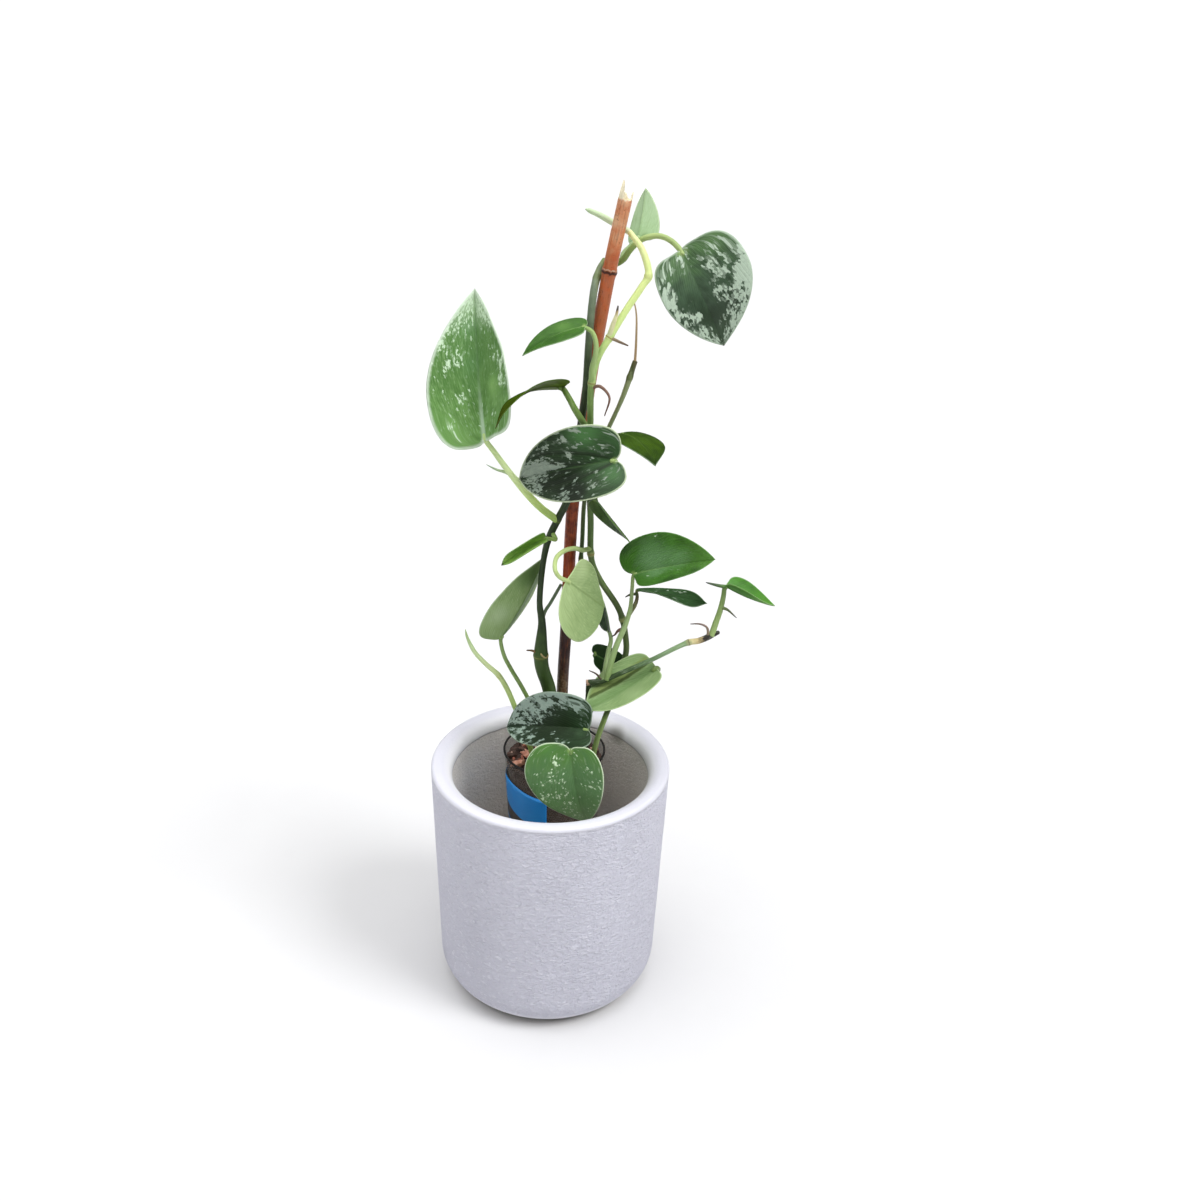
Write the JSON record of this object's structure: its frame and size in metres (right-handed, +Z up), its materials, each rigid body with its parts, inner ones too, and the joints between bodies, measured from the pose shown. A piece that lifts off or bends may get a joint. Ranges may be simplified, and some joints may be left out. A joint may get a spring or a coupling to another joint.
{
  "type": "potted climbing houseplant",
  "caption": "Climbing satin pothos on a reed stake, growing in a clear nursery pot that stands inside a tall round white planter.",
  "frame": {"origin": "centre of the planter's flat base", "axes": "+Z up, -Y towards the front of the planter, +X to the right seen from the front"},
  "size_m": [0.2766, 0.2, 0.6737],
  "materials": {
    "planter_stoneware": "matt white, finely rough outside, smooth on the lip, grey inside",
    "clear_plastic": "thin clear plastic",
    "label_film": "plain blue film, satin",
    "potting_mix": "crumbly dark brown bark and peat",
    "bark": "rough reddish brown",
    "reed": "glossy reddish brown with darker streaks, pale where it is split",
    "vine": "satin olive green",
    "stalk": "satin yellow-green",
    "aerial_root": "dry brown",
    "leaf_dark": "dark green with silver patches, satin",
    "leaf_bright": "mid green with small pale spots, satin",
    "leaf_pale": "pale grey-green underside to the front, matt"
  },
  "bodies": {
    "root": {"planter": "planter_stoneware", "nursery_pot": "clear_plastic", "riser": "clear_plastic", "nursery_label": "label_film", "potting_mix": "potting_mix", "bark_chip_1": "bark", "bark_chip_2": "bark", "bark_chip_3": "bark", "stake": "reed", "vine_left": "vine", "vine_right": "vine", "side_shoot": "vine", "cut_branch": "vine", "cut_vine": "vine", "young_shoot": "stalk", "furled_leaf": "stalk", "dry_tip": "aerial_root", "root_left": "aerial_root", "root_middle": "aerial_root", "root_upper": "aerial_root", "root_right": "aerial_root", "root_branch": "aerial_root", "leaf_01": "leaf_bright", "leaf_01_stalk": "stalk", "leaf_02": "leaf_dark", "leaf_02_stalk": "stalk", "leaf_03": "leaf_pale", "leaf_03_stalk": "stalk", "leaf_04": "leaf_bright", "leaf_04_stalk": "stalk", "leaf_05": "leaf_dark", "leaf_05_stalk": "stalk", "leaf_06": "leaf_dark", "leaf_06_stalk": "stalk", "leaf_07": "leaf_dark", "leaf_07_stalk": "stalk", "leaf_08": "leaf_bright", "leaf_08_stalk": "stalk", "leaf_09": "leaf_pale", "leaf_09_stalk": "stalk", "leaf_10": "leaf_pale", "leaf_10_stalk": "stalk", "leaf_11": "leaf_dark", "leaf_11_stalk": "stalk", "leaf_12": "leaf_dark", "leaf_12_stalk": "stalk", "leaf_13": "leaf_bright", "leaf_13_stalk": "stalk", "leaf_14": "leaf_dark", "leaf_14_stalk": "stalk", "leaf_15": "leaf_bright", "leaf_15_stalk": "stalk", "leaf_16": "leaf_pale", "leaf_16_stalk": "stalk", "leaf_17": "leaf_dark", "leaf_17_stalk": "stalk", "leaf_18": "leaf_bright", "leaf_18_stalk": "stalk", "leaf_19": "leaf_dark", "leaf_19_stalk": "stalk"}
  },
  "joints": []
}
